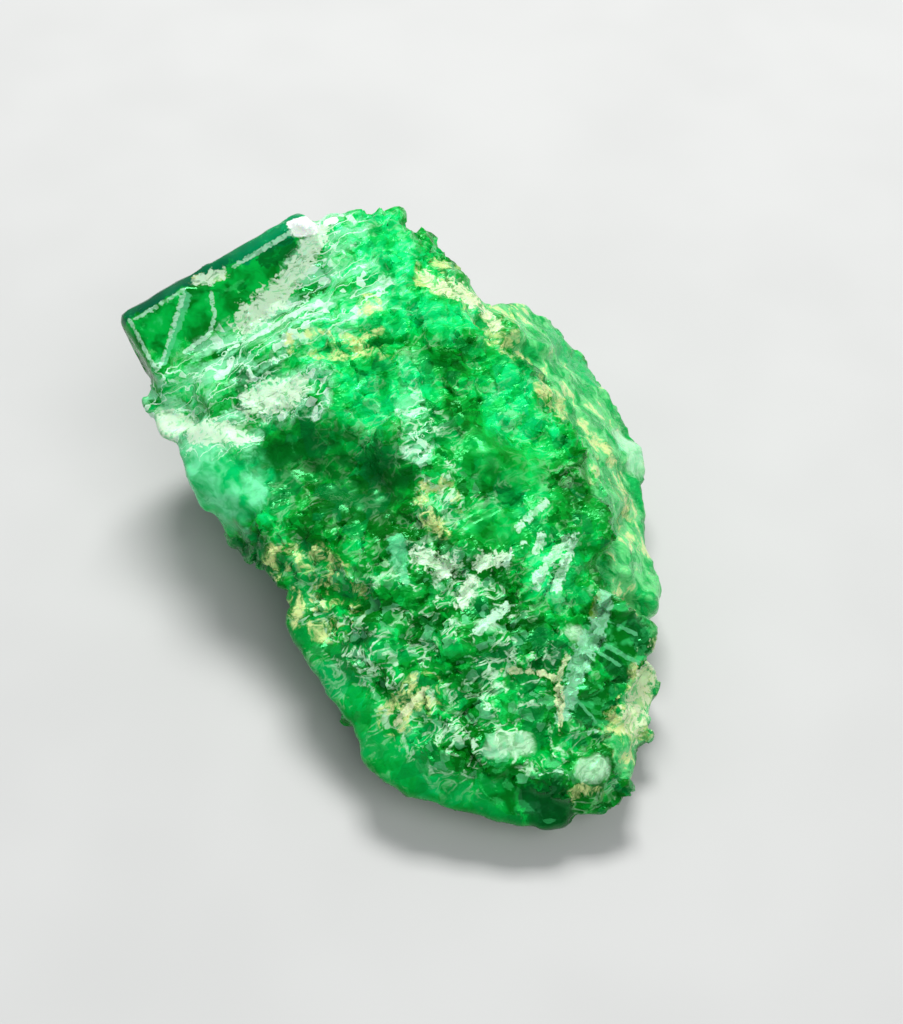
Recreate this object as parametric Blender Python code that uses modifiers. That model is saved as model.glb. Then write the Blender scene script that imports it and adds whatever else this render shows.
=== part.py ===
"""A rough emerald crystal, lying on its broken underside.

The stone is one solid. It is a broken mass of green beryl: its top and near side are hackly fracture,
its far end keeps the flat faces of a six-sided prism, and a small second crystal stands out of the
ridge at the thin end. Lengths are in millimetres and MM turns them into Blender's metres.

+X runs along the stone, from the thick prism end to the thin end. +Y is the flank behind the ridge.
+Z is up, and z = 0 is the surface that the stone rests on.
"""

import bmesh
import bpy
import numpy as np
from mathutils import Matrix, Vector
from mathutils.bvhtree import BVHTree
from mathutils.kdtree import KDTree

MM = 0.001

# Driving dimensions
VOXEL = 0.32  # grid that the hulls are merged on
TRIANGLES = 9200
BASE_SINK = 1.2  # how far the mass reaches below the flat that it is cut off on
BASE_EDGE = 1.5  # height over which the break grows rough above that flat
SWELL = 0.15  # gives back what merging and thinning take off the mass
FACE_GUARD = 0.45  # the break stays this far away from the faces of the crystals
CHIP_SPACE = ((-25, -20, -3), (25, 20, 20))  # box that the chips of the break are scattered in

# Corners of the block that carries the top face, from the thick end to the thin one
CROWN = {
    "prism_join": (-18.1, 1.2, 16.2),
    "peak": (-17.9, 2.9, 16.2),
    "peak_right": (-17.0, 4.9, 15.8),
    "far_shoulder": (-15.6, 7.4, 13.5),
    "ridge_far": (-9.6, 6.7, 13.0),
    "ridge_high": (-3.2, 6.4, 12.5),
    "ridge_middle": (1.8, 6.3, 11.0),
    "ridge_low": (6.3, 4.2, 9.5),
    "ridge_near": (10.2, 3.0, 8.0),
    "near_rim_4": (8.2, -13.1, 4.5),
    "near_rim_5": (-0.6, -11.8, 5.1),
    "lobe_low": (-5.0, -10.8, 7.7),
    "lobe": (-7.3, -11.3, 9.0),
    "lobe_high": (-12.9, -13.9, 10.5),
    "left_rough": (-15.8, -14.2, 10.9),
    "prism_foot": (-15.3, -12.0, 11.8),
    "crown_far": (-9.1, 1.1, 13.6),
    "crown_middle": (-1.5, -2.3, 12.5),
    "crown_left": (-4.2, -6.9, 11.0),
    "crown_near": (5.1, -5.2, 9.5),
    "crown_end": (11.4, -6.7, 6.5),
}

# Corners of the low flank behind the ridge
FLANK = {
    "ridge_far": (-9.6, 6.5, 12.4),
    "ridge_high": (-3.2, 6.2, 12.0),
    "ridge_middle": (1.8, 6.1, 10.6),
    "ridge_low": (6.3, 4.0, 9.0),
    "ridge_near": (10.2, 2.8, 7.6),
    "flank_far": (-10.5, 11.6, 9.5),
    "flank_corner": (-8.4, 13.7, 7.0),
    "flank_rim": (-4.6, 13.8, 5.5),
    "flank_knob": (1.3, 12.6, 4.5),
    "flank_near": (6.0, 9.7, 4.2),
    "flank_end": (10.4, 6.3, 4.0),
}

# Corners of the thin end
THIN_END = {
    "ridge_near": (10.2, 2.8, 7.6),
    "crown_near": (5.1, -5.2, 9.3),
    "crown_end": (11.4, -6.7, 6.5),
    "end_right": (14.2, 3.7, 2.5),
    "end_corner": (17.9, -0.3, 2.0),
    "end_low": (19.3, -2.2, 2.5),
    "end_tip": (18.4, -6.9, 2.6),
    "near_rim_1": (15.3, -8.5, 3.1),
    "near_rim_2": (12.9, -12.6, 3.5),
    "near_rim_3": (10.2, -13.7, 4.0),
    "near_rim_4": (8.2, -13.1, 4.5),
}

# Outlines of the underside of each block, where the stone touches what it rests on
CROWN_FOOT = ((-10, -5), (-4.5, -6.5), (1.5, -5.5), (7, -7), (9.5, 0), (5, 2.5), (-4.5, 4), (-8.5, 3.5), (-11.5, -1))
FLANK_FOOT = ((-8, 4), (-5, 6.5), (-1, 7), (3.5, 5), (6, 1.5), (3.5, 0), (-7, 0))
THIN_FOOT = ((3, -5.5), (7, -7), (11, -5.5), (12.5, -3), (12, 0), (8, 1.5), (3.5, 2.5))

# The crystal at the thick end, with the corners of its faces
PRISM = {
    "top_near": (-18.7, -12.3, 14.3),
    "top_far": (-18.2, 0.2, 16.8),
    "top_inner_near": (-14.5, -12.5, 12.2),
    "top_inner_far": (-14.0, 0.4, 14.6),
    "back_near": (-19.8, -12.7, 13.9),
    "back_far": (-19.3, 0.0, 16.5),
    "back_low_near": (-19.4, -11.6, 7.0),
    "back_low_far": (-18.9, 1.4, 8.0),
    "under_near": (-15.0, -10.5, 4.5),
    "under_far": (-14.5, 2.5, 5.5),
}

# The small crystal on the ridge: the corners of its flat face, of the bevel beside it and of its root
SMALL_CRYSTAL = {
    "face_top": (11.0, 3.1, 8.2),
    "face_tip": (13.1, 4.8, 6.6),
    "face_low": (15.0, 1.6, 5.4),
    "face_inner": (14.1, -2.3, 6.2),
    "bevel_top": (10.1, 3.0, 7.6),
    "bevel_inner": (13.7, -3.1, 5.5),
    "root_top": (9.5, 2.0, 5.5),
    "root_tip": (11.8, 4.0, 4.0),
    "root_low": (13.4, 1.0, 3.5),
    "root_inner": (12.5, -2.8, 3.5),
}

# The facet below it, where the same crystal comes out of the break again
LOWER_FACET = {
    "face_top": (14.0, -2.3, 6.3),
    "face_right": (14.4, 0.1, 5.6),
    "face_low": (15.9, -1.0, 4.9),
    "face_left": (15.1, -3.6, 5.5),
    "root_top": (13.4, -2.0, 3.5),
    "root_right": (14.0, -0.3, 3.2),
    "root_low": (15.0, -1.2, 3.0),
    "root_left": (14.5, -2.9, 3.3),
}

# The facet that cuts the tip of the thin end
TIP_FACET = {
    "top_left": (16.0, -6.4, 5.3),
    "top_right": (16.9, -4.5, 5.1),
    "low_left": (18.1, -7.2, 2.1),
    "low_right": (18.9, -5.6, 2.0),
    "root_top_left": (15.0, -5.6, 2.5),
    "root_top_right": (15.8, -4.0, 2.5),
    "root_low_left": (16.4, -6.4, 0.9),
    "root_low_right": (17.1, -4.9, 0.9),
}

# Hollows and swellings of the surface, as (start, end, radius, rise) with the rise of a hollow negative
FORMS = {
    "deep_hollow": ((-6.5, -9.0, 10.9), (-4.6, -6.2, 11.2), 3.6, -1.4),
    "middle_hollow": ((-2.4, -6.4, 11.0), (-1.4, -4.6, 11.2), 2.2, -0.7),
    "streaked_ridge": ((-11.6, -11.6, 11.6), (-12.8, -4.0, 14.0), 1.8, 0.7),
    "waxy_lobe": ((-9.0, -12.0, 9.8), (-7.6, -11.6, 9.2), 2.8, 0.5),
    "green_dome": ((0.6, 1.2, 11.8), (2.2, 2.2, 11.6), 2.6, 0.7),
    "near_notch": ((-5.6, -13.4, 7.8), (-1.0, -12.8, 6.0), 2.6, -1.3),
    "crystal_valley": ((12.0, -3.8, 6.8), (12.6, -1.6, 6.6), 1.3, -0.5),
    "pebble": ((11.6, -0.6, 7.5), (11.9, -0.3, 7.5), 0.9, 0.35),
    "pale_lens": ((17.2, -3.7, 3.7), (17.7, -3.1, 3.4), 1.1, 0.3),
    "end_dome": ((14.0, -6.8, 5.0), (15.0, -6.0, 4.8), 1.8, 0.5),
    "flank_knob": ((1.2, 12.2, 5.6), (2.0, 12.2, 5.2), 1.6, 0.3),
    "edge_chip": ((-18.7, -7.6, 14.8), (-18.4, -6.0, 15.2), 0.9, -0.6),
}

# Places where the break is glassy or waxy and so less hackly, as (start, end, radius, share left)
SMOOTH = {
    "waxy_lobe": ((-9.4, -12.2, 9.8), (-7.2, -11.4, 9.2), 2.8, 0.25),
    "green_dome": ((0.4, 1.2, 11.8), (2.6, 2.6, 11.4), 2.4, 0.30),
    "near_rim": ((-1.0, -12.6, 6.0), (10.5, -13.4, 4.2), 3.0, 0.15),
    "end_rim": ((10.5, -13.4, 4.2), (18.4, -7.0, 3.0), 3.0, 0.15),
    "flank": ((-8.0, 12.4, 8.0), (8.0, 8.4, 4.6), 4.0, 0.45),
    "far_shoulder": ((-15.6, 6.6, 13.6), (-10.6, 10.4, 11.0), 2.6, 0.45),
}


def clear_scene():
    for old in list(bpy.data.objects):
        bpy.data.objects.remove(old)


def new_collection(name):
    made = bpy.data.collections.new(name)
    bpy.context.scene.collection.children.link(made)
    return made


def hull(name, points, collection):
    """The convex solid around points, which are in millimetres."""
    shape = bmesh.new()
    corners = [shape.verts.new(Vector(point) * MM) for point in points]
    made = bmesh.ops.convex_hull(shape, input=corners)
    inside = {item for item in made["geom_interior"] if isinstance(item, bmesh.types.BMVert)}
    bmesh.ops.delete(shape, geom=list(inside), context="VERTS")
    bmesh.ops.recalc_face_normals(shape, faces=shape.faces)
    mesh = bpy.data.meshes.new(name)
    shape.to_mesh(mesh)
    shape.free()
    piece = bpy.data.objects.new(name, mesh)
    collection.objects.link(piece)
    return piece


def block(name, corners, foot, collection):
    """A hull over corners that stands on the outline foot, sunk under the rest flat."""
    below = [(x, y, -BASE_SINK) for x, y in foot]
    return hull(name, list(corners.values()) + below, collection)


def joined(pieces):
    """Puts the meshes of all pieces in the first one, still as overlapping shells."""
    first = pieces[0]
    together = bmesh.new()
    for piece in pieces:
        together.from_mesh(piece.data)
    together.to_mesh(first.data)
    together.free()
    for piece in pieces[1:]:
        bpy.data.objects.remove(piece)
    return first


def surface_of(piece):
    """A tree that finds the distance to the surface of piece, in metres."""
    shape = bmesh.new()
    shape.from_mesh(piece.data)
    tree = BVHTree.FromBMesh(shape)
    shape.free()
    return tree


def apply_modifiers(obj):
    graph = bpy.context.evaluated_depsgraph_get()
    obj.data = bpy.data.meshes.new_from_object(obj.evaluated_get(graph))
    obj.modifiers.clear()


def merge_shells(obj):
    """Turns overlapping shells into one even skin of small quads."""
    remesh = obj.modifiers.new("Skin", "REMESH")
    remesh.mode = "VOXEL"
    remesh.voxel_size = VOXEL * MM
    apply_modifiers(obj)


def points_and_normals(mesh):
    points = np.empty(len(mesh.vertices) * 3, np.float32)
    normals = np.empty(len(mesh.vertices) * 3, np.float32)
    mesh.vertices.foreach_get("co", points)
    mesh.vertices.foreach_get("normal", normals)
    return points.reshape(-1, 3) / MM, normals.reshape(-1, 3)


def plates(points, size, stretch, tilt, step, seed):
    """Height of a hackly break: flat chips, each tilted and stepped by chance.

    Chips are about size across, and stretch times as long along Y, which is the crystal's axis.
    """
    chance = np.random.default_rng(seed)
    scaled = points / (1, stretch, 1)
    low, high = np.array(CHIP_SPACE) / (1, stretch, 1)
    count = int(np.prod(high - low) / size**3 * 1.6)
    centres = chance.uniform(low, high, (count, 3))
    tilts = chance.normal(0, tilt, (count, 3))
    steps = chance.uniform(-step, step, count)
    tree = KDTree(count)
    for index, centre in enumerate(centres):
        tree.insert(centre, index)
    tree.balance()
    nearest = np.array([tree.find(point)[1] for point in scaled])
    return steps[nearest] + np.einsum("ij,ij->i", scaled - centres[nearest], tilts[nearest])


def nearness(points, start, end, radius):
    """1 on the line from start to end, falling smoothly to 0 at radius from it."""
    start, end = np.array(start), np.array(end)
    along = np.clip((points - start) @ (end - start) / np.sum((end - start) ** 2), 0, 1)
    nearest = start + along[:, None] * (end - start)
    distance = np.linalg.norm(points - nearest, axis=1) / radius
    return np.clip(1 - distance**2, 0, 1) ** 2


def roughness(points):
    """Height of the break's chips: coarse, middling and fine, and calmer in the smooth places."""
    height = plates(points, size=4.6, stretch=1.6, tilt=0.13, step=0.35, seed=4)
    height += plates(points, size=2.4, stretch=1.8, tilt=0.16, step=0.20, seed=9)
    height += plates(points, size=1.2, stretch=1.5, tilt=0.16, step=0.09, seed=17)
    for start, end, radius, left in SMOOTH.values():
        height *= 1 - (1 - left) * nearness(points, start, end, radius)
    return height


def forms(points):
    return sum(rise * nearness(points, *line, radius) for *line, radius, rise in FORMS.values())


def guard(points, crystals):
    """0 on the faces of the crystals, growing to 1 at FACE_GUARD from them."""
    away = np.array([min(tree.find_nearest(point * MM)[3] for tree in crystals) for point in points])
    return np.clip(away / (FACE_GUARD * MM) - 0.5, 0, 1)


def break_surface(obj, crystals):
    """Gives the mass its forms and its rough break, and leaves the crystals' faces flat."""
    points, normals = points_and_normals(obj.data)
    above_base = np.clip(points[:, 2] / BASE_EDGE, 0, 1)
    height = (roughness(points) + SWELL) * guard(points, crystals) + forms(points)
    points = points + normals * (height * above_base)[:, None]
    obj.data.vertices.foreach_set("co", (points * MM).astype(np.float32).ravel())
    obj.data.update()


def lighten(obj):
    """Thins the skin out to TRIANGLES, and keeps the most where the surface turns most."""
    obj.data.calc_loop_triangles()
    decimate = obj.modifiers.new("Lighten", "DECIMATE")
    decimate.ratio = TRIANGLES / len(obj.data.loop_triangles)
    apply_modifiers(obj)


def cut_flat(obj):
    """Cuts the mass off flat at z = 0 and closes the cut."""
    shape = bmesh.new()
    shape.from_mesh(obj.data)
    everything = shape.verts[:] + shape.edges[:] + shape.faces[:]
    bmesh.ops.bisect_plane(
        shape, geom=everything, plane_co=(0, 0, 0), plane_no=(0, 0, 1), clear_inner=True
    )
    rim = [edge for edge in shape.edges if edge.is_boundary]
    bmesh.ops.holes_fill(shape, edges=rim)
    shape.to_mesh(obj.data)
    shape.free()


def centre_on_origin(obj):
    """Puts the middle of the stone's plan on the origin and its underside at z = 0."""
    points = np.array([vertex.co for vertex in obj.data.vertices])
    middle = (points.min(0) + points.max(0)) / 2
    obj.data.transform(Matrix.Translation((-middle[0], -middle[1], -points[:, 2].min())))


def beryl():
    made = bpy.data.materials.new("emerald")
    made.use_nodes = True
    shader = made.node_tree.nodes["Principled BSDF"]
    shader.inputs["Base Color"].default_value = (0.01, 0.33, 0.10, 1)
    shader.inputs["Roughness"].default_value = 0.25
    shader.inputs["Metallic"].default_value = 0.0
    return made


def build():
    clear_scene()
    specimen = new_collection("Emerald specimen")
    blocks = [
        block("emerald", CROWN, CROWN_FOOT, specimen),
        block("flank", FLANK, FLANK_FOOT, specimen),
        block("thin_end", THIN_END, THIN_FOOT, specimen),
    ]
    crystals = [
        hull("prism", PRISM.values(), specimen),
        hull("small_crystal", SMALL_CRYSTAL.values(), specimen),
        hull("lower_facet", LOWER_FACET.values(), specimen),
        hull("tip_facet", TIP_FACET.values(), specimen),
    ]
    faces = [surface_of(crystal) for crystal in crystals]
    stone = joined(blocks + crystals)
    merge_shells(stone)
    break_surface(stone, faces)
    merge_shells(stone)
    lighten(stone)
    cut_flat(stone)
    centre_on_origin(stone)
    stone.data.materials.append(beryl())


build()
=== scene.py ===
"""Looks of the rough emerald crystal: the finer break of its surface, its material, floor, lights and camera.

Places on the stone are in millimetres in the part's own frame: +X runs from the thick prism end to the
thin end, +Y to the flank behind the ridge, which is also the crystal's growth axis, and +Z is up.
"""

import math

import bpy
import numpy as np
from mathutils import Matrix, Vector, noise
from mathutils.bvhtree import BVHTree
from mathutils.kdtree import KDTree

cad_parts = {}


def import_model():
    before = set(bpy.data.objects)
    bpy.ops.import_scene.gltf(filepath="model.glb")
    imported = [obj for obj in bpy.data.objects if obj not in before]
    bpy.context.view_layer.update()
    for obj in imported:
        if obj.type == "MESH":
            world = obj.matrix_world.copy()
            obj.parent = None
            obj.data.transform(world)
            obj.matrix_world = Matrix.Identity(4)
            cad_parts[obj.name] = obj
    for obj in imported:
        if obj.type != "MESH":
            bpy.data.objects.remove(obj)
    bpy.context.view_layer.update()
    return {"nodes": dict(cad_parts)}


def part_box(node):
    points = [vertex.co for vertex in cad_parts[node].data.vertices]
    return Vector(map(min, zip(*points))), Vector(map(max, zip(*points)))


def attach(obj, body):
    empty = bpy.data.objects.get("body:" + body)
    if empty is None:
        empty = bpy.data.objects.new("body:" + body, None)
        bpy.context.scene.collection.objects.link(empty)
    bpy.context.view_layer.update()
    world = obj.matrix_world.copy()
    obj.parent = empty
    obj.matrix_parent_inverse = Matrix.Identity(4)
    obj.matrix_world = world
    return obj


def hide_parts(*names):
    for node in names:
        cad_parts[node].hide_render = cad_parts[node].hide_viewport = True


MM = 0.001

# The photograph's camera, in degrees and millimetres
FOCAL_LENGTH = 52.7
SENSOR_WIDTH = 36.0  # along the image's longer side
CLIP_START = 0.002  # metres
CAMERA_AZIMUTH = 56.8
CAMERA_ELEVATION = 52.3
CAMERA_DISTANCE = 100.0
CAMERA_TARGET = (-4.66, 1.98, 0.0)

# The soft lights: azimuth and elevation in degrees, distance and size in metres, power in watts
LIGHTS = {
    "key": {"azimuth": 238, "elevation": 62, "distance": 0.35, "size": (0.14, 0.10), "power": 1.22},
    "fill": {"azimuth": 95, "elevation": 50, "distance": 0.45, "size": (0.30, 0.30), "power": 0.95},
}
WORLD_COLOUR, WORLD_STRENGTH = (0.9, 0.95, 1.0, 1), 0.35
FLOOR_SIZE = 3.0  # metres

# The stone's finer surface, in millimetres
SKIN_VOXEL = 0.188
SOFTEN_PASSES = 12
SOFTEN, RESTORE = 0.60, -0.62  # each pass evens the facets out, then gives the larger forms back
CRYSTAL_FACE_AREA = (0.9, 1.6)  # square millimetres: smaller faces of the solid are break, larger ones flat
SHARP_ANGLE = 38  # degrees
# The fine chips: how wide, how many times as long, how steep, how uneven in height, and their random seed
CHIPS = (
    {"size": 1.8, "stretch": 1.6, "tilt": 0.13, "step": 0.09, "seed": 3},
    {"size": 1.0, "stretch": 1.4, "tilt": 0.20, "step": 0.05, "seed": 5},
)
# Areas where the chips are flatter, and by how much
CALM = {"wax": 1.0, "rim": 1.0, "pool": 0.6, "flank": 0.5, "veil": 0.4, "frost": 1.0}
MOST_CALM = 0.85
SPLINTER_HEIGHT = 0.12
SWELL = 0.08  # gives back what softening takes off the break
STROKE_SPACE = np.array((1.0, 1.0, 0.5))  # a stroke still shows where chips lie a little above or below it

# The slow random shift that bends the patterns of the material
WAVE_SCALE, WAVE_OCTAVES, WAVE_REACH = 0.9, 3, 0.28
WAVE_SEED = 3  # without a seed this noise would differ from run to run
BEND, SWAY = 1.6, 0.6  # how much of it the strongly and the slightly bent patterns take

# Areas on the stone, each a list of (start, end, radius): the area is what lies that near the line
AREAS = {
    "window": (
        ((-17.9, -10.6, 14.3), (-16.4, -2.6, 15.4), 3.4),
        ((12.2, 1.9, 7.2), (13.9, 3.0, 6.2), 2.4),
        ((14.0, -1.7, 6.0), (15.0, -1.2, 5.4), 1.4),
        ((17.3, -6.2, 3.4), (18.4, -6.6, 2.4), 1.7),
        ((15.4, -7.8, 4.2), (16.2, -7.4, 4.0), 1.5),
    ),
    "pool": (
        ((0.6, 1.0, 11.9), (2.0, 2.4, 11.4), 2.4),
        ((-2.6, -6.6, 10.2), (-1.2, -5.2, 11.0), 2.4),
        ((-7.0, -8.8, 10.6), (-5.4, -6.6, 11.0), 3.0),
        ((3.4, -1.6, 10.4), (4.6, -0.4, 10.2), 1.6),
    ),
    # painted shade: the hollows, where shade falls, painted a deeper green
    "painted_shade": (
        ((-7.2, -9.0, 10.6), (-5.4, -6.6, 11.0), 4.2),
        ((-2.6, -6.6, 10.2), (-0.6, -5.0, 10.8), 3.6),
        ((-4.4, -13.2, 7.2), (-1.0, -12.8, 6.0), 3.0),
        ((0.0, -4.5, 10.8), (2.4, -4.6, 10.4), 2.0),
        ((17.3, -6.2, 3.6), (18.2, -6.0, 2.4), 1.8),
    ),
    "bright": (
        ((-11.0, -1.2, 14.6), (-6.0, -2.4, 13.6), 4.2),
        ((-14.6, 4.0, 15.6), (-9.0, 3.0, 14.0), 3.6),
        ((4.6, 1.6, 10.2), (8.8, 0.4, 8.8), 2.8),
        ((-3.0, 4.8, 12.4), (0.6, 4.8, 11.4), 2.8),
        ((6.0, -12.6, 5.4), (13.6, -10.6, 4.2), 2.4),
    ),
    "veil": (
        ((-13.6, -13.0, 10.8), (-12.6, -7.7, 13.4), 3.2),
        ((-13.2, -7.7, 13.6), (-12.6, 0.2, 14.9), 2.8),
        ((-15.2, -2.0, 15.0), (-16.8, 2.2, 16.4), 2.0),
        ((-10.4, -8.4, 12.2), (-8.6, -5.6, 13.0), 2.2),
        ((-11.2, -12.4, 11.0), (-9.4, -10.4, 11.0), 2.0),
        ((-4.2, -1.2, 13.1), (-1.6, -2.4, 12.3), 1.2),
    ),
    "glitter": (
        ((-4.0, -1.0, 13.0), (1.6, -2.1, 11.0), 2.1),
        ((3.7, -10.6, 7.0), (11.0, -9.6, 6.4), 4.4),
        ((6.0, -6.0, 8.7), (12.0, -4.6, 7.0), 4.4),
        ((12.5, -8.6, 5.8), (15.5, -5.6, 4.8), 3.4),
    ),
    "wax": (
        ((-9.6, -12.6, 9.6), (-7.4, -12.2, 9.0), 3.4),
        ((1.0, 11.6, 6.2), (1.6, 11.8, 5.8), 1.4),
    ),
    "jade": (((-6.9, 11.8, 8.4), (-5.3, 12.6, 6.9), 1.9),),
    "frost": (
        ((14.0, -7.4, 5.6), (14.6, -5.6, 5.1), 0.85),
        ((17.4, -3.6, 4.6), (17.7, -3.0, 4.5), 1.0),
        ((11.4, -0.1, 7.6), (11.6, 0.1, 7.5), 0.8),
        ((8.7, -4.8, 8.7), (9.2, -4.3, 8.6), 0.6),
        ((-13.4, -13.3, 10.3), (-12.3, -12.3, 9.9), 1.1),
        ((0.6, 12.1, 6.1), (1.9, 11.8, 5.6), 1.5),
    ),
    "rim": (
        ((-1.4, -12.2, 5.6), (8.2, -13.2, 4.5), 2.4),
        ((8.2, -13.2, 4.5), (12.9, -12.6, 3.6), 2.5),
        ((12.9, -12.6, 3.6), (18.2, -7.2, 2.8), 2.2),
    ),
    "cream": (
        ((-0.6, -11.6, 7.9), (1.6, -10.8, 7.6), 2.8),
        ((-11.0, 5.4, 14.2), (-7.8, 6.3, 13.4), 2.2),
        ((-7.8, 6.3, 13.4), (-5.4, 6.9, 12.0), 1.7),
        ((-5.4, 6.9, 12.0), (-1.7, 7.0, 11.2), 1.5),
        ((-1.7, 7.0, 11.2), (2.0, 8.9, 7.8), 1.5),
        ((2.0, 8.9, 7.8), (6.1, 7.9, 5.8), 1.4),
        ((-11.4, -4.5, 14.0), (-10.0, -2.5, 13.6), 1.1),
        ((-10.0, -2.5, 13.6), (-7.9, -1.0, 14.2), 1.0),
        ((-11.3, 0.3, 14.6), (-9.6, -0.5, 14.6), 0.9),
        ((1.0, -2.8, 11.2), (2.4, -3.2, 10.9), 1.5),
        ((9.3, -10.8, 5.6), (9.3, -9.0, 6.4), 1.4),
        ((13.6, 3.8, 4.2), (16.6, 0.2, 4.0), 2.4),
        ((-18.5, -7.6, 14.8), (-18.2, -6.4, 15.0), 0.7),
        ((-10.0, 6.6, 13.0), (-9.0, 9.0, 11.4), 1.8),
        ((18.0, -4.4, 3.6), (18.4, -3.8, 3.4), 0.8),
    ),
    "flank": (
        ((-9.5, 9.5, 10.5), (-2.0, 10.6, 7.5), 5.4),
        ((-2.0, 10.6, 7.5), (10.5, 6.6, 4.6), 5.2),
        ((10.5, 6.6, 4.6), (17.4, -0.6, 3.6), 1.9),
    ),
    "ribs": (
        ((10.6, 3.6, 8.0), (14.6, 1.6, 5.4), 3.0),
        ((14.0, -1.7, 6.0), (15.2, -1.2, 5.4), 1.6),
    ),
    # painted reflection: a teal band along the prism's upper-left edge
    "teal": (
        ((-19.1, -12.0, 13.9), (-18.8, -0.2, 16.3), 0.9),
        ((-18.7, -4.6, 15.6), (-18.4, -1.4, 16.3), 1.3),
    ),
}
# The prism's edges, in the same form: no chips are put on them, and they are hardly softened
PRISM_EDGES = (
    ((-19.2, -12.6, 13.6), (-18.8, 0.4, 16.4), 2.6),
    ((-18.8, -12.6, 13.6), (-15.4, -12.4, 12.6), 1.8),
    ((-19.0, -12.2, 11.0), (-18.6, -11.0, 13.0), 2.6),
)

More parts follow.
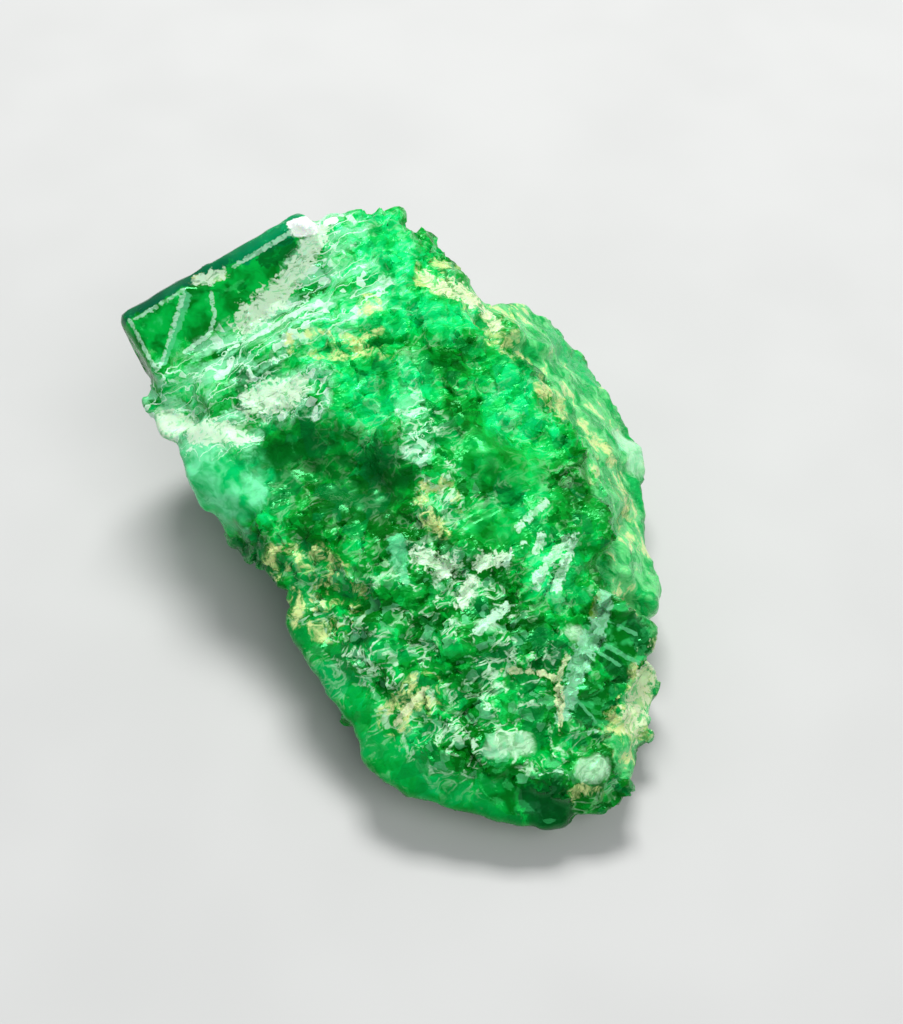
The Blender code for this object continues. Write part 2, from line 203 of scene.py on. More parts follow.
# Marks on the stone, each a list of strokes as (start, end, half width)
MARKS = {
    "shades": (
        ((17.0, -5.5, 4.7), (18.2, -6.3, 2.8), 0.80),
        ((12.5, 3.3, 7.2), (13.6, 3.2, 6.5), 0.60),
        ((13.4, 0.8, 6.6), (14.3, 1.2, 6.0), 0.55),
        ((14.3, -2.7, 6.0), (15.3, -2.1, 5.4), 0.50),
        ((-11.6, -8.4, 13.0), (-10.4, -9.2, 12.3), 0.40),
        ((-17.3, -3.4, 15.6), (-17.2, -1.8, 15.9), 0.55),
    ),
    "bevel": (
        ((10.4, 2.7, 7.9), (11.9, 0.9, 7.5), 0.50),
        ((11.9, 0.9, 7.5), (12.8, -0.9, 6.8), 0.62),
        ((12.8, -0.9, 6.8), (14.4, -3.0, 5.5), 0.50),
    ),
    "blades": (
        ((2.1, -6.2, 10.2), (3.3, -6.7, 9.9), 0.52),
        ((3.3, -6.7, 9.9), (4.3, -7.0, 9.6), 0.26),
        ((-17.9, -8.7, 14.8), (-16.7, -10.1, 13.8), 0.30),
        ((-16.7, -10.1, 13.8), (-15.4, -11.8, 12.9), 0.17),
    ),
    "crust": (
        ((-17.1, 0.4, 16.4), (-15.8, -1.8, 15.4), 0.62),
        ((-15.8, -1.8, 15.4), (-15.3, -3.9, 14.7), 0.66),
        ((-15.3, -3.6, 14.6), (-14.9, -6.3, 13.8), 0.80),
        ((-18.5, -7.5, 14.9), (-18.1, -6.3, 15.1), 0.50),
        ((-10.2, -8.4, 12.1), (-9.2, -6.2, 12.9), 0.90),
        ((-10.9, -12.2, 11.0), (-9.2, -10.2, 11.0), 0.70),
        ((-13.3, -13.3, 10.2), (-12.3, -12.3, 9.9), 0.70),
        ((6.7, -4.7, 8.9), (6.2, -3.8, 9.1), 0.48),
        ((3.6, -5.5, 9.8), (4.8, -4.5, 9.8), 0.62),
        ((5.6, -2.6, 9.4), (6.1, -1.5, 10.0), 0.55),
    ),
    "splinters": (
        ((5.0, 0.3, 10.0), (4.8, 1.4, 10.3), 0.24),
        ((4.8, 1.4, 10.3), (4.5, 2.5, 10.5), 0.24),
        ((8.2, -0.7, 9.1), (7.5, 0.9, 9.5), 0.34),
        ((7.5, 0.9, 9.5), (6.9, 2.3, 9.8), 0.30),
        ((8.9, 0.2, 8.8), (8.3, 1.0, 9.1), 0.32),
        ((8.2, 1.1, 9.2), (7.7, 1.9, 9.4), 0.32),
        ((7.7, 1.9, 9.4), (7.2, 2.7, 10.0), 0.24),
        ((6.7, 0.3, 9.8), (6.1, 1.2, 10.0), 0.26),
        ((6.6, -1.7, 10.0), (6.3, -0.9, 10.0), 0.22),
        ((6.3, -0.9, 10.0), (6.1, -0.1, 10.1), 0.22),
        ((8.9, -5.1, 8.8), (8.3, -2.6, 8.8), 0.28),
        ((-12.4, -9.9, 12.0), (-11.9, -6.4, 13.4), 0.24),
        ((-13.6, -7.2, 13.6), (-13.0, -2.6, 14.6), 0.20),
    ),
    "edges": (
        ((-18.3, -11.9, 14.2), (-18.3, -8.6, 14.9), 0.13),
        ((-17.9, -5.3, 15.4), (-17.8, -0.9, 16.4), 0.14),
        ((-17.3, -7.3, 14.8), (-16.1, -7.8, 14.1), 0.13),
        ((-16.1, -7.8, 14.1), (-15.4, -8.6, 13.6), 0.13),
        ((-15.4, -8.6, 13.6), (-15.3, -10.4, 13.2), 0.14),
        ((-18.6, -12.3, 14.1), (-15.3, -12.4, 12.7), 0.12),
        ((-18.1, -8.8, 14.8), (-16.3, -10.9, 13.4), 0.15),
        ((-16.3, -10.9, 13.4), (-15.3, -12.1, 12.8), 0.12),
        ((-14.8, -12.4, 12.2), (-11.9, -8.8, 12.6), 0.10),
        ((-12.6, -11.8, 11.6), (-9.9, -9.6, 11.6), 0.11),
        ((-14.9, -9.4, 12.9), (-13.0, -4.2, 14.2), 0.10),
        ((-13.9, -11.2, 12.2), (-10.8, -7.0, 12.9), 0.09),
        ((-16.6, -0.8, 15.9), (-14.6, -4.6, 14.3), 0.10),
        ((-15.7, 0.6, 15.9), (-13.6, -3.4, 14.6), 0.10),
        ((16.5, -6.0, 5.0), (16.8, -5.1, 4.9), 0.10),
        ((16.8, -5.1, 4.9), (17.3, -4.6, 4.5), 0.10),
        ((15.0, -3.7, 4.9), (16.0, -1.7, 4.7), 0.12),
    ),
    # painted highlights: thin curved glints on the small crystal's faces
    "painted_face_highlights": (
        ((11.8, 1.9, 7.6), (13.0, 3.1, 6.9), 0.11),
        ((12.7, 1.0, 7.1), (14.2, 2.4, 6.0), 0.14),
        ((12.9, 0.5, 7.0), (13.9, 1.3, 6.3), 0.10),
        ((14.2, -2.0, 6.2), (15.6, -1.6, 5.1), 0.11),
    ),
    "cream_patches": (
        ((-9.9, 4.9, 14.3), (-8.9, 6.1, 13.9), 0.80),
        ((-11.5, 4.4, 14.6), (-9.9, 4.9, 14.3), 0.45),
        ((-8.7, 6.5, 13.4), (-6.9, 6.6, 12.7), 0.50),
        ((13.8, 3.7, 4.4), (16.4, 0.6, 4.2), 0.80),
    ),
    "seams": (
        ((10.9, -4.8, 7.3), (12.7, -2.2, 6.4), 0.20),
        ((12.7, -2.2, 6.4), (14.0, -2.9, 5.7), 0.26),
        ((14.0, -2.9, 5.7), (15.1, -3.6, 5.1), 0.16),
        ((12.7, -2.2, 6.4), (12.2, -1.2, 7.1), 0.17),
        ((9.6, -11.1, 5.4), (9.3, -8.8, 6.6), 0.20),
    ),
    "ochre": (((10.3, 2.3, 8.0), (10.8, 1.6, 7.6), 0.26),),
    # painted highlights: a bright reflection on chips at the top of the prism
    "painted_chip_highlights": (
        ((-18.2, -0.9, 16.4), (-17.9, -0.1, 16.5), 0.42),
        ((-17.7, -0.9, 16.2), (-17.4, -0.1, 16.3), 0.42),
        ((-17.3, 1.0, 16.5), (-17.1, 1.4, 16.5), 0.28),
    ),
}
# How each mark is drawn: its colour from 0 to 255, its strength, and how worn and ragged it is
MARK_LOOKS = {
    "shades": ((0, 84, 24), 0.80, 0.3),
    "bevel": ((150, 222, 178), 0.85, 0.4),
    "blades": ((100, 220, 154), 0.65, 0.2),
    "crust": ((212, 240, 208), 0.90, 0.6),
    "splinters": ((196, 240, 208), 0.85, 0.5),
    "edges": ((184, 238, 202), 0.80, 0.5),
    # painted highlights on the small crystal's faces
    "painted_face_highlights": ((110, 224, 154), 0.65, 0.2),
    "cream_patches": ((216, 230, 184), 0.90, 0.8),
    "seams": ((218, 232, 180), 0.95, 0.4),
    "ochre": ((120, 150, 50), 0.60, 0.6),
    # painted highlights on chips at the top of the prism
    "painted_chip_highlights": ((240, 248, 240), 1.0, 0.0),
}
RIB_CENTRE = (7.6, 3.6, 10.0)  # the ribs of the small crystal's face bend round this point
RIB_SPACING = 1.05

# Colours chosen on a screen's scale of 0 to 255
COLOURS = {
    "deep green": (0, 100, 10),
    "green": (0, 150, 40),
    "bright green": (0, 190, 78),
    "light green": (6, 216, 114),
    "teal chip": (0, 128, 70),
    "rim": (0, 128, 44),
    "window": (0, 116, 20),
    "window cloud": (0, 186, 66),
    "window light": (60, 214, 120),
    # painted shade in the hollows of the clear places
    "shaded window": (0, 62, 16),
    "between ribs": (0, 116, 14),
    "rib": (52, 200, 104),
    # painted reflection along the prism's edge
    "edge reflection": (0, 88, 66),
    "light edge reflection": (0, 142, 90),
    "flank": (16, 164, 76),
    "light flank": (104, 208, 126),
    "flank streak": (206, 226, 158),
    "jade": (18, 176, 92),
    "wax": (0, 190, 98),
    "pale wax": (120, 234, 172),
    "frost": (178, 226, 184),
    "veil": (132, 226, 168),
    "thread": (206, 248, 218),
    # painted glints on chips in the veils
    "veil glint": (216, 248, 226),
    # painted glints on single chips
    "chip glint": (120, 216, 160),
    # painted glints on chip edges
    "glint": (196, 238, 200),
    "cream": (208, 222, 146),
    "ochre": (176, 164, 70),
    "absorbed light": (40, 220, 100),
    "floor": (189, 189, 187),
    "light floor": (193, 193, 191),
}


def srgb(red, green, blue):
    """A colour on a screen's scale of 0 to 255, as the linear colour that a shader takes."""
    def linear(value):
        value /= 255
        return value / 12.92 if value <= 0.04045 else ((value + 0.055) / 1.055) ** 2.4

    return (linear(red), linear(green), linear(blue), 1.0)


def tint(name):
    return srgb(*COLOURS[name])


# Geometry

def apply_modifiers(obj):
    graph = bpy.context.evaluated_depsgraph_get()
    obj.data = bpy.data.meshes.new_from_object(obj.evaluated_get(graph))
    obj.modifiers.clear()


def read_points(mesh, what="co"):
    values = np.empty(len(mesh.vertices) * 3, np.float32)
    mesh.vertices.foreach_get(what, values)
    values = values.reshape(-1, 3).astype(float)
    return values / MM if what == "co" else values


def write_points(mesh, points):
    mesh.vertices.foreach_set("co", (points * MM).astype(np.float32).ravel())
    mesh.update()


def away_from(points, start, end):
    """Distance of each point from the line from start to end."""
    start, end = np.array(start), np.array(end)
    along = np.clip((points - start) @ (end - start) / np.sum((end - start) ** 2), 0, 1)
    return np.linalg.norm(points - start - along[:, None] * (end - start), axis=1)


def area(points, lines):
    """How far each point is inside an area: 1 on its lines, falling smoothly to 0 at their radius."""
    inside = [1 - (away_from(points, start, end) / radius) ** 2 for start, end, radius in lines]
    return np.clip(np.max(inside, axis=0), 0, 1)


def mark(points, strokes):
    """Distance from the nearest of the strokes, in half widths of that stroke. Heights count less."""
    shares = []
    for start, end, half_width in strokes:
        away = away_from(points * STROKE_SPACE, start * STROKE_SPACE, end * STROKE_SPACE)
        shares.append(away / half_width)
    return np.clip(np.min(shares, axis=0), 0, 4)


def plates(points, size, stretch, tilt, step, seed):
    """Height of flat chips about size across and stretch times as long along Y, tilted by chance."""
    chance = np.random.default_rng(seed)
    scaled = points / (1, stretch, 1)
    low = scaled.min(0) - size
    cells = np.unique(np.floor((scaled - low) / size).astype(int), axis=0)
    around = np.array([(x, y, z) for x in (-1, 0, 1) for y in (-1, 0, 1) for z in (-1, 0, 1)])
    cells = np.unique((cells[:, None] + around[None]).reshape(-1, 3), axis=0)
    centres = low + (cells + chance.uniform(0, 1, cells.shape)) * size
    tilts = chance.normal(0, tilt, centres.shape)
    steps = chance.uniform(-step, step, len(centres))
    tree = KDTree(len(centres))
    for index, centre in enumerate(centres):
        tree.insert(centre, index)
    tree.balance()
    nearest = np.array([tree.find(point)[1] for point in scaled])
    return steps[nearest] + np.einsum("ij,ij->i", scaled - centres[nearest], tilts[nearest])


def soften(mesh, points, amount):
    """Evens out the facets of the solid, by amount at each point, before the fine break is added."""
    edges = np.empty(len(mesh.edges) * 2, np.int32)
    mesh.edges.foreach_get("vertices", edges)
    first, second = edges.reshape(-1, 2).T
    count = np.bincount(edges, minlength=len(points))[:, None]
    for factor in (SOFTEN, RESTORE) * SOFTEN_PASSES:
        total = np.empty_like(points)
        for axis in range(3):
            along = points[:, axis]
            total[:, axis] = np.bincount(first, along[second], len(points))
            total[:, axis] += np.bincount(second, along[first], len(points))
        points = points + (total / count - points) * amount[:, None] * factor
    return points


def flatness(points, node):
    """1 on the flat crystal faces and the underside, which are the solid's large faces, 0 on the break."""
    places = [vertex.co for vertex in node.data.vertices]
    faces = [polygon.vertices for polygon in node.data.polygons]
    tree = BVHTree.FromPolygons(places, faces)
    areas = np.array([polygon.area for polygon in node.data.polygons]) / MM**2
    nearest = np.array([tree.find_nearest(Vector(point) * MM)[2] for point in points])
    low, high = CRYSTAL_FACE_AREA
    return np.clip((areas[nearest] - low) / (high - low), 0, 1)


def store(mesh, name, values):
    layer = mesh.attributes.new(name, "FLOAT", "POINT")
    layer.data.foreach_set("value", np.asarray(values, np.float32))


def make_stone(node):
    """The solid's skin with the fine break on it, and the wave, areas and marks written on its points."""
    stone = bpy.data.objects.new("emerald_stone", node.data.copy())
    bpy.context.scene.collection.objects.link(stone)
    remesh = stone.modifiers.new("Skin", "REMESH")
    remesh.mode = "VOXEL"
    remesh.voxel_size = SKIN_VOXEL * MM
    apply_modifiers(stone)
    break_finely(stone.data, node)
    keep_inside(stone.data, node)
    points = read_points(stone.data)
    noise.seed_set(WAVE_SEED)
    wave = [noise.turbulence_vector(point * WAVE_SCALE, WAVE_OCTAVES, False) for point in points]
    layer = stone.data.attributes.new("wave", "FLOAT_VECTOR", "POINT")
    layer.data.foreach_set("vector", np.array(wave, np.float32).ravel() * WAVE_REACH)
    for name, lines in AREAS.items():
        store(stone.data, name, area(points, lines))
    for name, strokes in MARKS.items():
        store(stone.data, name, mark(points, strokes))
    stone.data.polygons.foreach_set("use_smooth", [True] * len(stone.data.polygons))
    stone.data.set_sharp_from_angle(angle=math.radians(SHARP_ANGLE))
    return stone


def break_finely(mesh, node):
    """Adds chips too fine for the solid to all of the break, fewer where it is waxy or glassy."""
    points = read_points(mesh)
    flat = flatness(points, node)
    prism = np.clip(area(points, PRISM_EDGES) * 2.0, 0, 1)
    points = soften(mesh, points, (1 - flat) * (1 - 0.9 * prism))
    write_points(mesh, points)
    normals = read_points(mesh, "normal")
    calm = np.max([area(points, AREAS[name]) * share for name, share in CALM.items()], axis=0)
    calm = np.maximum(np.clip(calm * 2.0, 0, MOST_CALM), prism)
    height = sum(plates(points, **chips) for chips in CHIPS)
    height = (height * (1 - calm) + SWELL) * (1 - flat)
    height += SPLINTER_HEIGHT * np.clip(1.5 - mark(points, MARKS["splinters"]), 0, 1)
    write_points(mesh, points + normals * height[:, None])


def keep_inside(mesh, node):
    """Brings points that the fine break pushed out back into the solid's own box."""
    low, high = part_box(node.name)
    points = read_points(mesh)
    write_points(mesh, np.clip(points, np.array(low) / MM, np.array(high) / MM))


# Material

class Graph:
    """A material's node tree, with a call for each kind of node that the materials use."""

    def __init__(self, name):
        self.material = bpy.data.materials.new(name)
        self.material.use_nodes = True
        self.tree = self.material.node_tree
        self.shader = self.tree.nodes["Principled BSDF"]
        self.output = self.tree.nodes["Material Output"]

    def node(self, kind, **settings):
        made = self.tree.nodes.new(kind)
        for name, value in settings.items():
            setattr(made, name, value)
        return made

    def plug(self, value, socket):
        if isinstance(value, bpy.types.NodeSocket):
            self.tree.links.new(value, socket)
        else:
            socket.default_value = value

    def attribute(self, name, output="Fac"):
        return self.node("ShaderNodeAttribute", attribute_name=name).outputs[output]

    def vector(self, operation, first, second, output="Vector"):
        made = self.node("ShaderNodeVectorMath", operation=operation)
        self.plug(first, made.inputs[0])
        self.plug(second, made.inputs[1])
        return made.outputs[output]

    def scale(self, vector, amount):
        made = self.node("ShaderNodeVectorMath", operation="SCALE")
        self.plug(vector, made.inputs[0])
        self.plug(amount, made.inputs["Scale"])
        return made.outputs["Vector"]

    def math(self, operation, first, second=0.0, clamp=False):
        made = self.node("ShaderNodeMath", operation=operation, use_clamp=clamp)
        self.plug(first, made.inputs[0])
        self.plug(second, made.inputs[1])
        return made.outputs[0]

    def noise(self, vector, scale, detail=3.0, roughness=0.55):
        made = self.node("ShaderNodeTexNoise")
        self.plug(vector, made.inputs["Vector"])
        made.inputs["Scale"].default_value = scale
        made.inputs["Detail"].default_value = detail
        made.inputs["Roughness"].default_value = roughness
        return made.outputs["Fac"]

    def cells(self, vector, scale, feature="F1"):
        made = self.node("ShaderNodeTexVoronoi", feature=feature)
        self.plug(vector, made.inputs["Vector"])
        made.inputs["Scale"].default_value = scale
        return made.outputs

    def channel(self, colour, index):
        made = self.node("ShaderNodeSeparateColor")
        self.plug(colour, made.inputs[0])
        return made.outputs[index]

    def between(self, value, low, high, start=0.0, end=1.0):
        """value as it goes from low to high, turned smoothly into start to end."""
        made = self.node("ShaderNodeMapRange", interpolation_type="SMOOTHSTEP")
        self.plug(value, made.inputs["Value"])
        made.inputs["From Min"].default_value = low
        made.inputs["From Max"].default_value = high
        made.inputs["To Min"].default_value = start
        made.inputs["To Max"].default_value = end
        return made.outputs["Result"]

    def times(self, *values):
        result = values[0]
        for value in values[1:]:
            result = self.math("MULTIPLY", result, value)
        return result

    def most(self, values):
        result = values[0]
        for value in values[1:]:
            result = self.math("MAXIMUM", result, value)
        return result

    def mix(self, under, over, amount):
        """A mix of two colours, whose sockets share their names with others and so go by number."""
        made = self.node("ShaderNodeMix", data_type="RGBA")
        self.plug(amount, made.inputs["Factor"])
        self.plug(under, made.inputs[6])
        self.plug(over, made.inputs[7])
        return made.outputs[2]

    def bump(self, height, strength, distance):
        made = self.node("ShaderNodeBump")
        self.plug(height, made.inputs["Height"])
        made.inputs["Strength"].default_value = strength
        made.inputs["Distance"].default_value = distance
        return made.outputs["Normal"]


def emerald_material():
    """Green beryl: clear windows, and a break full of pale veils, waxy, stained and hackly places."""
    graph = Graph("emerald_beryl")
    place = graph.scale(graph.node("ShaderNodeTexCoord").outputs["Object"], 1 / MM)
    wave = graph.attribute("wave", output="Vector")
    fringe = graph.math("SUBTRACT", graph.noise(place, 3.5, detail=1), 0.5)
    bent = graph.vector("ADD", place, graph.scale(wave, BEND))
    swayed = graph.vector("ADD", place, graph.scale(wave, SWAY))
    mottle = graph.noise(bent, 0.9, detail=4, roughness=0.65)
    scratch = graph.noise(graph.vector("MULTIPLY", bent, (1.0, 0.35, 1.0)), 3.6, detail=2, roughness=0.65)
    areas = {name: broken_edge(graph, mottle, name) for name in AREAS}
    chips = graph.cells(swayed, 0.8)["Color"]
    small_chips = graph.cells(swayed, 1.9)["Color"]
    # painted glints on chip edges
    glints = painted_glint_lines(graph, bent, swayed, areas)
    ribs = rib_waves(graph, place, wave)

    colour = body_green(graph, bent, areas, chips, small_chips)
    colour = window_green(graph, colour, bent, areas, ribs)
    colour = waxy_and_mottled(graph, colour, bent, areas, scratch)
    colour = veils(graph, colour, swayed, fringe, areas, small_chips)
    # painted glints: a few small chips in the glittering places painted pale, fewer on the rim
    chip_glints = graph.times(graph.between(graph.channel(small_chips, 1), 0.80, 0.84), areas["glitter"], 0.4)
    chip_glints = graph.times(chip_glints, graph.between(areas["rim"], 0.1, 0.5, 1.0, 0.2))
    colour = graph.mix(colour, tint("chip glint"), chip_glints)
    # painted glints, broken up by the scratch pattern
    glints = graph.times(glints, graph.between(scratch, 0.38, 0.54, 0.3, 0.9))
    colour = graph.mix(colour, tint("glint"), glints)
    colour = stains(graph, colour, mottle, areas, scratch)
    colour = marks(graph, colour, fringe, scratch)
    graph.plug(colour, graph.shader.inputs["Base Color"])

    glassy = graph.most([areas["window"], graph.times(areas["pool"], 0.3)])
    rough = graph.between(graph.noise(bent, 2.0, detail=1), 0.35, 0.7, 0.14, 0.42)
    rough = graph.math("MINIMUM", rough, graph.between(glassy, 0.1, 0.5, 1.0, 0.06))
    graph.plug(rough, graph.shader.inputs["Roughness"])
    clear = graph.times(graph.between(areas["window"], 0.15, 0.5), 0.3)
    graph.plug(clear, graph.shader.inputs["Transmission Weight"])
    graph.shader.inputs["IOR"].default_value = 1.58
    graph.shader.inputs["Specular IOR Level"].default_value = 0.35
    graph.shader.inputs["Specular Tint"].default_value = (0.10, 1.0, 0.32, 1)
    graph.shader.inputs["Subsurface Weight"].default_value = 0.25
    graph.shader.inputs["Subsurface Radius"].default_value = (0.1, 0.7, 0.25)
    graph.shader.inputs["Subsurface Scale"].default_value = MM
    graph.plug(fine_break(graph, swayed, ribs), graph.shader.inputs["Normal"])
    absorb_green(graph)
    return graph.material


def marks(graph, colour, fringe, scratch):
    """The strokes on the stone, each in its own colour. The fringe makes the worn ones ragged."""
    grain = graph.between(scratch, 0.36, 0.54)
    for name, (own, strength, worn) in MARK_LOOKS.items():
        away = graph.math("ADD", graph.attribute(name), graph.times(fringe, 1.0 + 1.8 * worn))
        kept = graph.between(grain, 0.0, 1.0, 1.0 - worn, 1.0)
        amount = graph.times(graph.between(away, 1.15, 0.80), kept, strength)
        colour = graph.mix(colour, srgb(*own), amount)
    return colour


def broken_edge(graph, mottle, name):
    """The area called name with an uneven edge."""
    here = graph.attribute(name)
    uneven = graph.between(mottle, 0.3, 0.7, -0.35, 0.35)
    inside = graph.between(here, 0.0, 0.25)
    return graph.times(graph.math("ADD", here, graph.times(uneven, inside)), inside)


def painted_glint_lines(graph, bent, swayed, areas):
    """Painted glints on the edges of chips, some curled and some straight, in clusters: many in the
    glittering places.
    """
    amount = graph.math("ADD", graph.times(areas["glitter"], 0.75), 0.25, clamp=True)
    clear = graph.most([areas["window"], areas["wax"]])
    amount = graph.times(amount, graph.between(clear, 0.1, 0.5, 1.0, 0.0))
    plain = graph.most([areas["flank"], graph.times(areas["pool"], 0.6), graph.times(areas["rim"], 0.6)])
    amount = graph.times(amount, graph.between(plain, 0.1, 0.5, 1.0, 0.3))
    cluster = graph.between(graph.noise(bent, 0.6, detail=3, roughness=0.7), 0.495, 0.56)
    curl = graph.noise(graph.vector("MULTIPLY", bent, (1.0, 0.3, 1.0)), 1.2, detail=2)
    curled = graph.between(graph.math("ABSOLUTE", graph.math("SUBTRACT", curl, 0.5)), 0.055, 0.017)
    crack = graph.cells(graph.vector("MULTIPLY", swayed, (1.0, 0.24, 1.0)), 1.9, feature="DISTANCE_TO_EDGE")
    straight = graph.between(crack["Distance"], 0.10, 0.04)
    return graph.times(graph.most([curled, straight]), cluster, amount)


def rib_waves(graph, place, wave):
    """Lighter and darker ribs, curved round RIB_CENTRE, as the flat faces of the small crystal have."""
    distance = graph.vector("DISTANCE", place, RIB_CENTRE, output="Value")
    unrest = graph.times(graph.channel(wave, 0), 7.0)
    turned = graph.math("ADD", graph.times(distance, 2 * math.pi / RIB_SPACING), unrest)
    ribs = graph.math("SINE", turned)
    return graph.times(ribs, graph.between(graph.noise(place, 0.8, detail=1), 0.35, 0.6))


def body_green(graph, bent, areas, chips, small_chips):
    """The green of the break: deep to bright, with painted light and shade on the chips, each a little
    lighter or darker than the next, and painted shade in the hollows.
    """
    tone = graph.noise(bent, 0.30, detail=4, roughness=0.6)
    tone = graph.math("ADD", tone, graph.times(areas["bright"], 0.16))
    # painted light and shade: each chip lighter or darker, as its facet would catch the light
    for chance, share in ((chips, 0.16), (small_chips, 0.14)):
        level = graph.math("SUBTRACT", graph.channel(chance, 0), 0.5)
        tone = graph.math("ADD", tone, graph.times(level, share))
    # painted shade: deeper green in the hollows
    tone = graph.math("SUBTRACT", tone, graph.times(areas["painted_shade"], 0.20))
    tone = graph.math("SUBTRACT", tone, graph.times(graph.between(graph.channel(bent, 0), -4.0, 6.0), 0.07))
    colour = graph.mix(tint("deep green"), tint("green"), graph.between(tone, 0.32, 0.47))
    colour = graph.mix(colour, tint("bright green"), graph.between(tone, 0.47, 0.60))
    colour = graph.mix(colour, tint("light green"), graph.between(tone, 0.60, 0.74))
    teal = graph.times(graph.between(graph.channel(chips, 1), 0.55, 0.75), 0.35)
    colour = graph.mix(colour, tint("teal chip"), teal)
    return graph.mix(colour, tint("rim"), graph.between(areas["rim"], 0.1, 0.8, 0.0, 0.6))


def window_green(graph, colour, bent, areas, ribs):
    """Clear places: deep green with lighter clouds inside, ribs on the small faces, painted shade in the
    hollows and a painted reflection along the prism's teal edge.
    """
    cloud = graph.noise(bent, 0.55, detail=3)
    inside = graph.mix(tint("window"), tint("window cloud"), graph.between(cloud, 0.38, 0.60))
    inside = graph.mix(inside, tint("window light"), graph.times(graph.between(cloud, 0.60, 0.70), 0.7))
    ribbed = graph.mix(tint("between ribs"), tint("rib"), graph.between(ribs, 0.1, 0.8))
    inside = graph.mix(inside, ribbed, graph.between(areas["ribs"], 0.1, 0.4, 0.0, 0.85))
    # painted shade: the hollows in the clear places painted darker
    inside = graph.mix(inside, tint("shaded window"), graph.between(areas["painted_shade"], 0.3, 0.7, 0.0, 0.8))
    colour = graph.mix(colour, inside, graph.between(areas["window"], 0.12, 0.4))
    colour = graph.mix(colour, inside, graph.between(areas["pool"], 0.3, 0.8, 0.0, 0.5))
    # painted reflection along the prism's edge, lighter towards +Y
    along = graph.between(graph.channel(bent, 1), -7.0, -3.0)
    teal = graph.mix(tint("edge reflection"), tint("light edge reflection"), along)
    return graph.mix(colour, teal, graph.between(areas["teal"], 0.15, 0.5, 0.0, 0.85))


def waxy_and_mottled(graph, colour, bent, areas, scratch):
    """The yellower flank with its cream streaks, the waxy lobes and the frosted patches."""
    patch = graph.noise(graph.vector("MULTIPLY", bent, (0.5, 1.0, 1.0)), 0.9, detail=3, roughness=0.6)
    flank = graph.mix(tint("flank"), tint("light flank"), graph.between(patch, 0.40, 0.54))
    flank = graph.mix(flank, tint("flank streak"), graph.between(patch, 0.56, 0.64))
    colour = graph.mix(colour, flank, graph.between(areas["flank"], 0.05, 0.5, 0.0, 0.9))
    colour = graph.mix(colour, tint("jade"), graph.between(areas["jade"], 0.1, 0.5, 0.0, 0.9))
    cloud = graph.noise(bent, 0.5, detail=3, roughness=0.6)
    waxy = graph.mix(tint("wax"), tint("pale wax"), graph.between(cloud, 0.42, 0.64))
    colour = graph.mix(colour, waxy, graph.between(areas["wax"], 0.05, 0.8, 0.0, 0.85))
    frost = graph.between(areas["frost"], 0.05, 0.9)
    frost = graph.times(frost, graph.between(scratch, 0.36, 0.56, 0.5, 0.85))
    return graph.mix(colour, tint("frost"), frost)


def veils(graph, colour, swayed, fringe, areas, small_chips):
    """Pale streaks along the crystal's axis, with bright threads and painted glints on a few chips in them.
    """
    here = graph.between(areas["veil"], 0.1, 0.8)
    long = graph.vector("ADD", graph.vector("MULTIPLY", swayed, (1.0, 0.16, 1.0)), graph.times(fringe, 0.25))
    streaks = graph.between(graph.noise(long, 1.6, detail=3, roughness=0.6), 0.42, 0.60)
    colour = graph.mix(colour, tint("veil"), graph.times(here, streaks, 0.8))
    thread = graph.noise(long, 1.1, detail=1)
    thread = graph.between(graph.math("ABSOLUTE", graph.math("SUBTRACT", thread, 0.5)), 0.022, 0.006)
    colour = graph.mix(colour, tint("thread"), graph.times(here, thread, 0.85))
    # painted glints on a few chips in the veils
    veil_glints = graph.times(graph.between(graph.channel(small_chips, 1), 0.86, 0.90), here)
    return graph.mix(colour, tint("veil glint"), graph.times(veil_glints, 0.7))


def stains(graph, colour, mottle, areas, scratch):
    """Cream and ochre stains between the chips."""
    cream = graph.times(graph.between(areas["cream"], 0.05, 0.7), graph.between(mottle, 0.48, 0.60))
    cream = graph.times(cream, graph.between(scratch, 0.36, 0.54, 0.35, 0.9))
    colour = graph.mix(colour, tint("cream"), cream)
    ochre = graph.times(graph.between(areas["cream"], 0.3, 0.8), graph.between(mottle, 0.66, 0.73))
    return graph.mix(colour, tint("ochre"), graph.times(ochre, 0.8))


def tilted_chips(graph, swayed, scale, tilt, step):
    """Height of flat chips, each with a slope and a level of its own."""
    found = graph.cells(swayed, scale)
    away = graph.vector("SUBTRACT", swayed, found["Position"])
    slope = graph.vector("SUBTRACT", found["Color"], (0.5, 0.5, 0.5))
    height = graph.times(graph.vector("DOT_PRODUCT", away, slope, output="Value"), tilt)
    return graph.math("ADD", height, graph.times(graph.channel(found["Color"], 2), step))


def fine_break(graph, swayed, ribs):
    """Bumps too small for the mesh, in millimetres: tilted chips, a fine tooth and the ribs."""
    height = tilted_chips(graph, swayed, scale=1.7, tilt=0.40, step=0.05)
    tooth = graph.noise(graph.vector("MULTIPLY", swayed, (1.0, 0.45, 1.0)), 5.0, detail=1)
    height = graph.math("ADD", height, graph.times(tooth, 0.07))
    window = graph.attribute("window")
    calm = [window, graph.times(graph.attribute("wax"), 0.7), graph.times(graph.attribute("pool"), 0.5)]
    calm += [graph.times(graph.attribute("rim"), 0.5), graph.times(graph.attribute("veil"), 0.3)]
    calm = graph.most(calm + [graph.times(graph.attribute("frost"), 0.6)])
    height = graph.times(height, graph.between(calm, 0.1, 0.5, 1.0, 0.06))
    clear = graph.between(window, 0.1, 0.4)
    ribbed = graph.times(ribs, graph.between(graph.attribute("ribs"), 0.1, 0.4), clear, 0.02)
    return graph.bump(graph.math("ADD", height, ribbed), strength=1.0, distance=MM)


def absorb_green(graph):
    absorption = graph.node("ShaderNodeVolumeAbsorption")
    absorption.inputs["Color"].default_value = tint("absorbed light")
    absorption.inputs["Density"].default_value = 90.0
    graph.plug(absorption.outputs["Volume"], graph.output.inputs["Volume"])


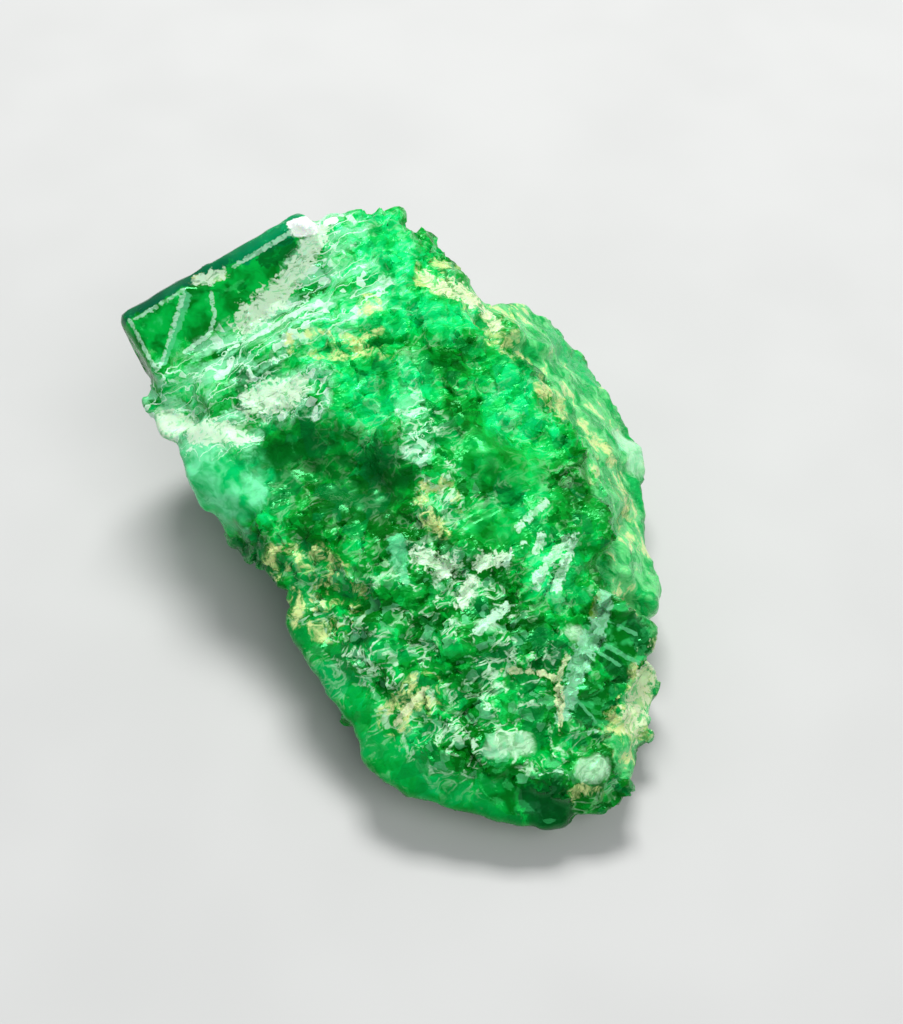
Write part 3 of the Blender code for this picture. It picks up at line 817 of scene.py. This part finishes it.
def floor_material():
    graph = Graph("pale_floor")
    place = graph.node("ShaderNodeTexCoord").outputs["Object"]
    shade = graph.between(graph.noise(place, 60.0, detail=2), 0.3, 0.7)
    graph.plug(graph.mix(tint("floor"), tint("light floor"), shade), graph.shader.inputs["Base Color"])
    graph.shader.inputs["Roughness"].default_value = 0.8
    return graph.material


# Scene

def make_floor():
    bpy.ops.mesh.primitive_plane_add(size=FLOOR_SIZE)
    floor = bpy.context.object
    floor.name = "floor"
    floor.data.materials.append(floor_material())
    return floor


def direction(azimuth, elevation):
    """Unit vector from a target towards something at that azimuth and elevation, as the views count them."""
    turn, tilt = math.radians(azimuth), math.radians(elevation)
    return Vector((math.sin(turn) * math.cos(tilt), -math.cos(turn) * math.cos(tilt), math.sin(tilt)))


def make_camera():
    data = bpy.data.cameras.new("camera")
    data.lens = FOCAL_LENGTH
    data.sensor_width = SENSOR_WIDTH
    data.clip_start = CLIP_START
    camera = bpy.data.objects.new("camera", data)
    bpy.context.scene.collection.objects.link(camera)
    towards = direction(CAMERA_AZIMUTH, CAMERA_ELEVATION)
    camera.location = (Vector(CAMERA_TARGET) + towards * CAMERA_DISTANCE) * MM
    camera.rotation_euler = towards.to_track_quat("Z", "Y").to_euler()
    bpy.context.scene.camera = camera


def make_light(name, azimuth, elevation, distance, size, power):
    data = bpy.data.lights.new(name, "AREA")
    data.shape = "RECTANGLE"
    data.size, data.size_y = size
    data.energy = power
    light = bpy.data.objects.new(name, data)
    bpy.context.scene.collection.objects.link(light)
    towards = direction(azimuth, elevation)
    light.location = towards * distance
    light.rotation_euler = towards.to_track_quat("Z", "Y").to_euler()


def make_lights():
    for name, settings in LIGHTS.items():
        make_light(name, **settings)
    world = bpy.data.worlds.new("studio")
    world.use_nodes = True
    background = world.node_tree.nodes["Background"]
    background.inputs["Color"].default_value = WORLD_COLOUR
    background.inputs["Strength"].default_value = WORLD_STRENGTH
    bpy.context.scene.world = world


def main():
    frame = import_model()
    bpy.context.scene.view_settings.view_transform = "Standard"
    stone = make_stone(frame["nodes"]["emerald"])
    stone.data.materials.clear()
    stone.data.materials.append(emerald_material())
    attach(stone, "root")
    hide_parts("emerald")
    make_floor()
    make_camera()
    make_lights()


main()
